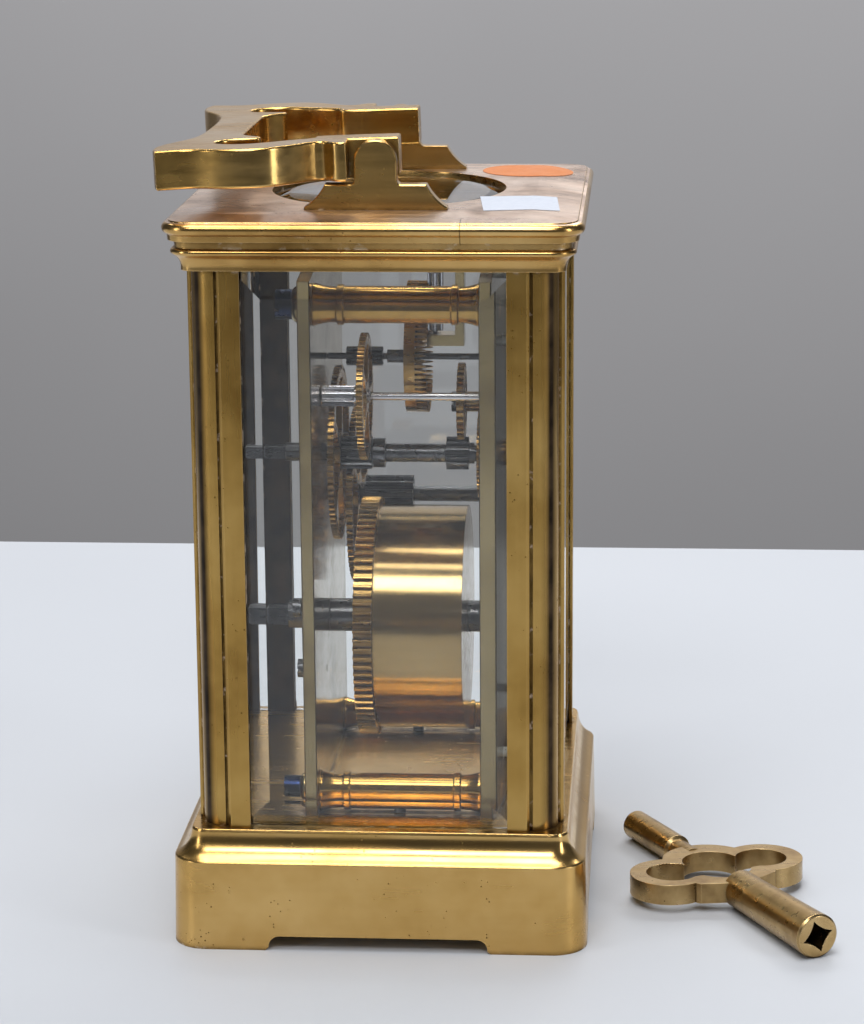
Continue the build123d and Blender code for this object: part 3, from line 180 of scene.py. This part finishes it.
FEW_PITS = (0.70, 0.78)


def metal(name, bright, mid, dark, rough=(0.14, 0.30), pits=0.6, grime_and_shade=(0.035, 0.02, 0.008),
          patch=38.0, grain=None, edge=0.0002, residue=None, shade_and_residue_reach=0.0016, scratch=0.25, edge_wear_and_sheen=0.5,
          roof=None, joint=None, inside=None, pitted=(0.54, 0.64)):
    """Aged metal: faint tarnish clouds, dark pits, hairline scratches, exposed edges painted brighter (partly
    rubbed, partly painted highlight), and corners painted darker as shade.

    roof is the height above which upward faces get a pale pinkish tarnish, partly painted reflection of the
    grey backdrop, in the three colours given. joint is the Y of a seam on the near side. inside is half the
    case's width and depth; the posts' inner faces within it are painted dark brown as shade.
    """
    m = Tree(name)
    cloud = m.noise(patch, 4.0, 0.58)
    color = m.ramp(cloud, (0.24, dark), (0.46, mid), (0.78, bright))
    if roof:
        # Upward faces of the roof get a pale pinkish coat: partly tarnish, partly painted reflection of the
        # grey backdrop.
        top = m.math("MULTIPLY", m.up_facing(0.90, 0.97), m.step(m.axis(2), roof[0], roof[0] + 0.0006))
        blotches = m.noise(70.0, 5.0, 0.65, distortion=0.5)
        tarnish_and_reflection = m.ramp(blotches, (0.30, roof[3]), (0.48, roof[2]), (0.70, roof[1]))
        color = m.mix(top, color, tarnish_and_reflection)
    if inside:
        # Points more than about 2 mm inside the posts' outer box, which are the posts' inner faces, are
        # painted dark brown as shade and made rougher.
        deep = [m.math("SUBTRACT", half, m.math("ABSOLUTE", m.axis(k))) for k, half in enumerate(inside)]
        inner = m.step(m.math("MINIMUM", *deep), 0.0012, 0.0022)
        inner_shade_noise = m.noise(160.0, 4.0, 0.6)
        painted_inner_shade = m.ramp(inner_shade_noise, (0.35, (0.020, 0.013, 0.008)), (0.75, (0.085, 0.055, 0.030)))
        color = m.mix(inner, color, painted_inner_shade)
    spots = m.cells(800.0)
    where = m.noise(130.0, 2.0, 0.5)
    hole = m.math("MULTIPLY", m.step(spots, 0.17, 0.11), m.step(where, *pitted))
    blot = m.step(m.noise(400.0, 3.0, 0.6), 0.70, 0.75)
    marks = m.math("MAXIMUM", hole, m.math("MULTIPLY", blot, 0.45))
    color = m.mix(m.math("MULTIPLY", marks, pits), color, grime_and_shade)
    # Exposed rounded edges, found by the bevel mask away from crevices, are painted brighter than the
    # brightest tone: partly rubbed edges, partly painted highlight.
    edges = m.round_edges(edge)
    open_air = m.cavity(shade_and_residue_reach)
    # Corners and crevices found by ambient occlusion are painted darker, varied by noise: this is painted
    # shade.
    corner = m.step(open_air, 0.40, 0.85, 1.0, 0.0)
    outer = m.math("MULTIPLY", edges, m.step(open_air, 0.80, 0.97))
    color = m.mix(m.math("MULTIPLY", outer, edge_wear_and_sheen), color, tuple(min(1.0, c * 1.15 + 0.06) for c in bright))
    corner_shade = m.math("MULTIPLY", corner, m.step(m.noise(240.0, 3.0, 0.6), 0.30, 0.60, 0.55, 1.0))
    color = m.mix(corner_shade, color, grime_and_shade)
    if residue:
        chalk = m.math("MULTIPLY", m.step(m.cavity(shade_and_residue_reach * 0.5, 5), 0.60, 0.92, 1.0, 0.0),
                       m.step(m.noise(300.0, 4.0, 0.65), 0.57, 0.65))
        color = m.mix(chalk, color, residue)
    if joint:
        gap = m.math("ABSOLUTE", m.math("SUBTRACT", m.axis(1), joint))
        near_side = m.step(m.axis(0), -0.0395, -0.0405)
        seam = m.math("MULTIPLY", m.step(gap, 0.00005, 0.00012, 0.8, 0.0), near_side)
        seam = m.math("MULTIPLY", seam, m.step(m.axis(2), 0.1395, 0.1400))
        color = m.mix(seam, color, grime_and_shade)
    lines = m.noise(600.0, 2.0, 0.5, vector=m.stretch(*(grain or (1.0, 0.06, 1.0))))
    r = m.step(cloud, 0.25, 0.75, rough[1], rough[0])
    r = m.math("ADD", r, m.math("MULTIPLY", marks, 0.25))
    r = m.math("ADD", r, m.math("MULTIPLY", corner_shade, 0.30))
    r = m.math("ADD", r, m.step(lines, 0.35, 0.7, -0.03, 0.05))
    if roof:
        r = m.math("ADD", r, m.math("MULTIPLY", top, 0.10))
    if inside:
        r = m.math("ADD", r, m.math("MULTIPLY", inner, 0.20))
    height = m.math("SUBTRACT", m.math("MULTIPLY", lines, scratch), m.math("MULTIPLY", marks, 0.9))
    m.bump(height, 0.25, 0.00006)
    m.bump(m.noise(30.0, 2.0, 0.5), 0.16, 0.0006)
    return m.done(color, r, Metallic=1.0)


case_brass = metal("case_brass", (0.76, 0.51, 0.20), (0.62, 0.385, 0.125), (0.40, 0.23, 0.06),
                   residue=(0.70, 0.58, 0.42))
cornice_brass = metal("cornice_brass", (0.74, 0.50, 0.20), (0.54, 0.33, 0.11), (0.26, 0.14, 0.035),
                      residue=(0.70, 0.58, 0.42), joint=-0.0168,
                      roof=(0.1428, (0.92, 0.76, 0.64), (0.70, 0.53, 0.42), (0.36, 0.24, 0.17)))
handle_brass = metal("handle_brass", (0.82, 0.55, 0.21), (0.60, 0.37, 0.11), (0.28, 0.15, 0.035), patch=55.0,
                     residue=(0.66, 0.54, 0.38), pits=0.8, edge_wear_and_sheen=0.7)
posts = [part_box("post_" + which) for which in ("front_left", "front_right", "rear_left", "rear_right")]
post_half = [max(abs(corner[k]) for box in posts for corner in box) for k in (0, 1)]
post_brass = metal("post_brass", (0.60, 0.39, 0.125), (0.42, 0.25, 0.065), (0.20, 0.105, 0.022),
                   grain=(1.0, 1.0, 0.05), residue=(0.74, 0.58, 0.44), pits=0.5, inside=post_half)
# The movement's brasses (plates, pillars, wheels, barrel) get darker tones than the case brass, to paint the
# shade inside the closed case.
plate_brass = metal("plate_brass", (0.40, 0.31, 0.16), (0.30, 0.225, 0.105), (0.17, 0.115, 0.045),
                    rough=(0.10, 0.20), pits=0.35, patch=45.0, shade_and_residue_reach=0.0009, pitted=FEW_PITS)
pillar_brass = metal("pillar_brass", (0.62, 0.40, 0.13), (0.46, 0.27, 0.07), (0.22, 0.115, 0.025),
                     rough=(0.12, 0.22), pits=0.35, patch=60.0, grain=(0.05, 1.0, 0.05), shade_and_residue_reach=0.0008,
                     pitted=FEW_PITS)
wheel_brass = metal("wheel_brass", (0.56, 0.36, 0.13), (0.36, 0.21, 0.065), (0.16, 0.085, 0.025),
                    rough=(0.20, 0.32), pits=0.3, patch=90.0, shade_and_residue_reach=0.0006, edge=0.00008, pitted=FEW_PITS)
barrel_brass = metal("barrel_brass", (0.50, 0.345, 0.155), (0.38, 0.255, 0.105), (0.24, 0.15, 0.055),
                     rough=(0.13, 0.19), pits=0.2, patch=30.0, grain=(1.0, 0.03, 1.0), shade_and_residue_reach=0.001,
                     pitted=FEW_PITS)
steel = metal("steel", (0.16, 0.16, 0.17), (0.09, 0.09, 0.095), (0.035, 0.035, 0.038),
              rough=(0.20, 0.34), pits=0.3, grime_and_shade=(0.012, 0.010, 0.009), patch=120.0, shade_and_residue_reach=0.0005,
              edge=0.00008, pitted=FEW_PITS)
bright_steel = metal("bright_steel", (0.66, 0.65, 0.68), (0.52, 0.51, 0.54), (0.32, 0.31, 0.33),
                     rough=(0.12, 0.22), pits=0.25, grime_and_shade=(0.04, 0.035, 0.03), patch=90.0, shade_and_residue_reach=0.0004,
                     edge=0.00008, pitted=FEW_PITS)
blued_steel = metal("blued_steel", (0.020, 0.032, 0.085), (0.010, 0.017, 0.050), (0.004, 0.007, 0.020),
                    rough=(0.20, 0.32), pits=0.2, grime_and_shade=(0.004, 0.004, 0.006), patch=200.0, shade_and_residue_reach=0.0005,
                    edge=0.00008)
key_metal = metal("key_metal", (0.62, 0.44, 0.21), (0.42, 0.28, 0.12), (0.20, 0.12, 0.05),
                  rough=(0.22, 0.38), pits=0.8, patch=120.0, residue=(0.26, 0.21, 0.12), edge_wear_and_sheen=0.8)


def clear_glass():
    """Bevelled plate glass, slightly dusty, that lets lamps through."""
    m = Tree("clear_glass")
    haze = m.noise(60.0, 4.0, 0.6)
    m.bump(m.noise(14.0, 1.0, 0.4), 0.03, 0.0003)
    m.done(rough=m.step(haze, 0.45, 0.8, 0.0, 0.035), Transmission_Weight=1.0, IOR=1.5)
    m.shader.inputs["Base Color"].default_value = (0.97, 0.985, 0.98, 1)
    path = m.node("ShaderNodeLightPath")
    through = m.node("ShaderNodeBsdfTransparent")
    through.inputs[0].default_value = (0.90, 0.92, 0.91, 1)
    blend = m.node("ShaderNodeMixShader")
    m.link(path.outputs["Is Shadow Ray"], blend.inputs[0])
    m.link(m.shader.outputs[0], blend.inputs[1])
    m.link(through.outputs[0], blend.inputs[2])
    m.link(blend.outputs[0], m.out.inputs[0])
    return m.mat


def enamel():
    """White fired enamel with faint specks."""
    m = Tree("enamel")
    color = m.ramp(m.noise(25.0, 3.0, 0.5), (0.3, (0.86, 0.85, 0.80)), (0.7, (0.93, 0.92, 0.88)))
    color = m.mix(m.step(m.cells(500.0), 0.08, 0.05), color, (0.35, 0.30, 0.25))
    m.bump(m.noise(90.0, 2.0, 0.5), 0.08, 0.0002)
    return m.done(color, 0.12, IOR=1.5, Coat_Weight=0.4)


def paper(name, base, shade):
    """Thin matt paper with fibres."""
    m = Tree(name)
    fibre = m.noise(900.0, 4.0, 0.7)
    color = m.mix(m.step(fibre, 0.35, 0.75), base, shade)
    m.bump(fibre, 0.25, 0.00004)
    return m.done(color, m.step(m.noise(200.0), 0.3, 0.7, 0.55, 0.75), IOR=1.45)


glass = clear_glass()
enamel_white = enamel()
paint = {
    case_brass: ["base_moulding", "bracket_left", "bracket_right", "door_frame", "door_knob"],
    cornice_brass: ["top_cornice"],
    handle_brass: ["handle"],
    post_brass: ["post_front_left", "post_front_right", "post_rear_left", "post_rear_right"],
    glass: ["top_glass", "side_glass_left", "side_glass_right", "front_glass", "door_glass"],
    plate_brass: ["back_plate", "front_plate", "platform", "potence", "balance_cock", "train_cock",
                  "plate_washers"],
    pillar_brass: ["pillar_upper_left", "pillar_upper_right", "pillar_lower_left", "pillar_lower_right"],
    wheel_brass: ["great_wheel", "intermediate_wheel", "centre_wheel", "third_wheel", "contrate_wheel",
                  "minute_wheel", "hour_wheel", "balance_wheel"],
    barrel_brass: ["barrel_drum", "barrel_cap"],
    steel: ["handle_pins", "case_screws", "bracket_screws", "back_plate_screws", "barrel_arbor",
            "ratchet_wheel", "click", "intermediate_arbor", "hand_arbor", "centre_pinion",
            "contrate_arbor", "minute_stud"],
    bright_steel: ["click_spring", "third_arbor", "escape_wheel", "pallet_lever"],
    blued_steel: ["plate_screws", "hour_hand", "minute_hand", "mainspring", "hairspring"],
    enamel_white: ["dial_plate"],
    key_metal: ["winding_key"],
}
for material, names in paint.items():
    for name in names:
        data = nodes[name].data
        data.materials.clear()
        data.materials.append(material)


# ---------------------------------------------------------------- new pieces
def piece(name, verts, faces, material, body="case"):
    mesh = bpy.data.meshes.new(name)
    mesh.from_pydata(verts, [], faces)
    mesh.materials.append(material)
    mesh.validate()
    obj = bpy.data.objects.new(name, mesh)
    bpy.context.collection.objects.link(obj)
    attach(obj, body)
    return obj


roof_tree = BVHTree.FromPolygons(
    [v.co.copy() for v in nodes["top_cornice"].data.vertices],
    [tuple(f.vertices) for f in nodes["top_cornice"].data.polygons],
)


def roof_height(x, y):
    """The height of the roof's surface, found by a ray straight down onto the cornice."""
    hit = roof_tree.ray_cast(Vector((x, y, 0.2)), Vector((0, 0, -1)))[0]
    return hit.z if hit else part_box("top_cornice")[1][2]


def sticker(name, place, material, steps=14, thick=0.00008):
    """Thin paper lying on the roof. place turns a square of -1 to 1 into metres."""
    top, bottom = [], []
    for j in range(steps + 1):
        for i in range(steps + 1):
            x, y = place(2 * i / steps - 1, 2 * j / steps - 1)
            z = roof_height(x, y) + 0.00004
            bottom.append((x, y, z))
            top.append((x, y, z + thick))
    row = steps + 1
    count = row * row
    faces = []
    for j in range(steps):
        for i in range(steps):
            a = j * row + i
            faces.append((a, a + 1, a + row + 1, a + row))
            faces.append((count + a, count + a + row, count + a + row + 1, count + a + 1))
    rim = list(range(row)) + [k * row + steps for k in range(1, row)]
    rim += [steps * row + k for k in range(steps - 1, -1, -1)] + [k * row for k in range(steps - 1, 0, -1)]
    for a, b in zip(rim, rim[1:] + rim[:1]):
        faces.append((a, count + a, count + b, b))
    return piece(name, top + bottom, faces, material)


def disc(cx, cy, r):
    def place(u, v):
        return cx + r * u * math.sqrt(1 - v * v / 2), cy + r * v * math.sqrt(1 - u * u / 2)
    return place


def quad(a, b, c, d):
    def place(u, v):
        s, t = (u + 1) / 2, (v + 1) / 2
        return tuple(((1 - s) * a[k] + s * b[k]) * (1 - t) + ((1 - s) * d[k] + s * c[k]) * t for k in (0, 1))
    return place


sticker("sticker_orange", disc(0.0270, -0.0267, 0.0094),
        paper("orange_paper", (0.62, 0.21, 0.06), (0.54, 0.17, 0.05)))
sticker("sticker_white", quad((-0.0132, -0.0189), (-0.0115, -0.0339), (-0.0298, -0.0350), (-0.0328, -0.0206)),
        paper("white_paper", (0.56, 0.60, 0.68), (0.50, 0.54, 0.63)))


def dial_print():
    """Minute track and hour numbers, fired on the front of the dial."""
    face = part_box("dial_plate")[0][1]
    joints = frame["record"]["behaviour"]["joints"]
    pivot = next(j for j in joints if j["name"] == "hands_turn")["pos_m"]
    verts, faces = [], []

    def bar(radial, points):
        """A thin flat shape. points are across and outwards in mm, turned to the hour angle."""
        start = len(verts)
        for lift in (0.0, 0.00003):
            for across, out in points:
                x = math.sin(radial) * out + math.cos(radial) * across
                z = math.cos(radial) * out - math.sin(radial) * across
                verts.append((pivot[0] + x * MM, face - 0.00001 - lift, pivot[2] + z * MM))
        n = len(points)
        faces.append(tuple(start + k for k in range(n)))
        faces.append(tuple(start + n + k for k in range(n - 1, -1, -1)))
        for k in range(n):
            other = (k + 1) % n
            faces.append((start + k, start + n + k, start + n + other, start + other))

    inner, outer, line = 23.2, 24.8, 0.12
    reach = math.tan(math.radians(3.0))
    for minute in range(60):
        turn = math.radians(6 * minute)
        half = 0.22 if minute % 5 == 0 else 0.09
        bar(turn, [(-half, inner), (half, inner), (half, outer), (-half, outer)])
        for radius in (inner, outer):
            bar(turn, [(-radius * reach, radius), (radius * reach, radius),
                       ((radius + line) * reach, radius + line), (-(radius + line) * reach, radius + line)])
    foot, head = 16.6, 21.8
    wide = {"I": 1.25, "V": 2.9, "X": 2.9}
    numbers = ("XII", "I", "II", "III", "IIII", "V", "VI", "VII", "VIII", "IX", "X", "XI")
    for hour, letters in enumerate(numbers):
        turn = math.radians(30 * hour)
        at = -sum(wide[c] for c in letters) / 2
        for c in letters:
            mid = at + wide[c] / 2
            if c == "I":
                bar(turn, [(mid - 0.28, foot), (mid + 0.28, foot), (mid + 0.28, head), (mid - 0.28, head)])
            elif c == "V":
                bar(turn, [(mid - 0.1, foot), (mid + 0.3, foot), (mid - 0.75, head), (mid - 1.35, head)])
                bar(turn, [(mid - 0.1, foot), (mid + 0.1, foot), (mid + 1.2, head), (mid + 1.0, head)])
            else:
                bar(turn, [(mid + 0.7, foot), (mid + 1.3, foot), (mid - 0.7, head), (mid - 1.3, head)])
                bar(turn, [(mid - 1.15, foot), (mid - 0.95, foot), (mid + 1.15, head), (mid + 0.95, head)])
            at += wide[c]
    black = Tree("dial_black")
    ink = black.mix(black.step(black.noise(800.0), 0.4, 0.7), (0.012, 0.012, 0.014), (0.03, 0.03, 0.032))
    black.bump(black.noise(900.0), 0.1, 0.00002)
    black.done(ink, black.step(black.noise(300.0), 0.3, 0.7, 0.2, 0.3))
    return piece("dial_numbers", verts, faces, black.mat)


dial_print()


# ---------------------------------------------------------------- stage
def plane(name, corners, material):
    mesh = bpy.data.meshes.new(name)
    mesh.from_pydata(corners, [], [tuple(range(len(corners)))])
    mesh.materials.append(material)
    obj = bpy.data.objects.new(name, mesh)
    bpy.context.collection.objects.link(obj)
    return obj


def plain(name, color, rough, spec=0.5):
    m = Tree(name)
    shade = m.ramp(m.noise(3.0, 2.0, 0.5), (0.3, tuple(c * 0.96 for c in color)), (0.7, color))
    m.bump(m.noise(300.0, 3.0, 0.6), 0.05, 0.0002)
    return m.done(shade, rough, Specular_IOR_Level=spec)


TABLE_NEAR, TABLE_FAR, TABLE_HALF = -0.85, 0.279, 1.6
BACKDROP_X, BACKDROP_HALF, BACKDROP_LOW, BACKDROP_HIGH = 2.2, 2.4, -1.2, 1.6
floor = plane("floor", [(TABLE_NEAR, -TABLE_HALF, 0), (TABLE_FAR, -TABLE_HALF, 0),
                        (TABLE_FAR, TABLE_HALF, 0), (TABLE_NEAR, TABLE_HALF, 0)],
              plain("floor_pale", (0.545, 0.57, 0.615), 0.5, 0.3))
wall = plane("backdrop",
             [(BACKDROP_X, -BACKDROP_HALF, BACKDROP_LOW),
              (BACKDROP_X, BACKDROP_HALF, BACKDROP_LOW),
              (BACKDROP_X, BACKDROP_HALF, BACKDROP_HIGH),
              (BACKDROP_X, -BACKDROP_HALF, BACKDROP_HIGH)],
             plain("backdrop_grey", (0.40, 0.395, 0.405), 0.8, 0.1))


def area(name, place, target, size, power, color=(1, 1, 1)):
    light = bpy.data.lights.new(name, "AREA")
    light.shape = "RECTANGLE"
    light.size, light.size_y = size
    light.energy = power
    light.color = color
    obj = bpy.data.objects.new(name, light)
    obj.location = place
    obj.rotation_euler = (Vector(target) - Vector(place)).to_track_quat("-Z", "Y").to_euler()
    bpy.context.collection.objects.link(obj)
    return obj


area("top_softbox", (-0.12, 0.05, 1.05), (-0.02, 0, 0.1), (0.62, 0.62), 7.5)
area("camera_softbox", (-0.80, 0.10, 0.95), (0, 0, 0.08), (0.55, 0.30), 4.5)
area("left_softbox", (-0.50, 0.80, 0.34), (0, 0, 0.09), (0.16, 0.60), 1.7, (1.0, 0.98, 0.95))
area("right_softbox", (-0.42, -0.85, 0.36), (0, 0, 0.09), (0.18, 0.60), 2.0)

area("far_softbox", (0.85, -0.25, 0.70), (0, 0, 0.09), (0.4, 0.3), 1.3)
area("backdrop_light", (1.05, 0.0, 1.35), (2.2, 0, -0.15), (2.2, 0.3), 44.0)

world = bpy.data.worlds.new("studio")
world.use_nodes = True
world.node_tree.nodes["Background"].inputs[0].default_value = (0.55, 0.57, 0.62, 1)
world.node_tree.nodes["Background"].inputs[1].default_value = 0.12
bpy.context.scene.world = world
bpy.context.scene.view_settings.view_transform = "Standard"
bpy.context.scene.view_settings.look = "None"
bpy.context.scene.view_settings.exposure = 0.0

# ---------------------------------------------------------------- camera
CAMERA_PLACE = Vector((-0.6172646, -0.0525158, 0.2274897))
SENSOR_MM, LENS_PER_SENSOR = 36.0, 3104.30 / 1024.0
yaw, pitch, roll = -0.0719414, 0.2370388, -0.0076251
ahead, side_way, up = Vector((1, 0, 0)), Vector((0, -1, 0)), Vector((0, 0, 1))
f2 = ahead * math.cos(yaw) + side_way * math.sin(yaw)
r2 = side_way * math.cos(yaw) - ahead * math.sin(yaw)
look = f2 * math.cos(pitch) - up * math.sin(pitch)
u3 = up * math.cos(pitch) + f2 * math.sin(pitch)
right = r2 * math.cos(roll) + u3 * math.sin(roll)
top = u3 * math.cos(roll) - r2 * math.sin(roll)
cam_data = bpy.data.cameras.new("photo_camera")
cam = bpy.data.objects.new("photo_camera", cam_data)
bpy.context.collection.objects.link(cam)
turned = Matrix((right, top, -look)).transposed().to_4x4()
cam.matrix_world = Matrix.Translation(CAMERA_PLACE) @ turned
cam_data.sensor_width = SENSOR_MM
cam_data.lens = SENSOR_MM * LENS_PER_SENSOR
bpy.context.scene.camera = cam
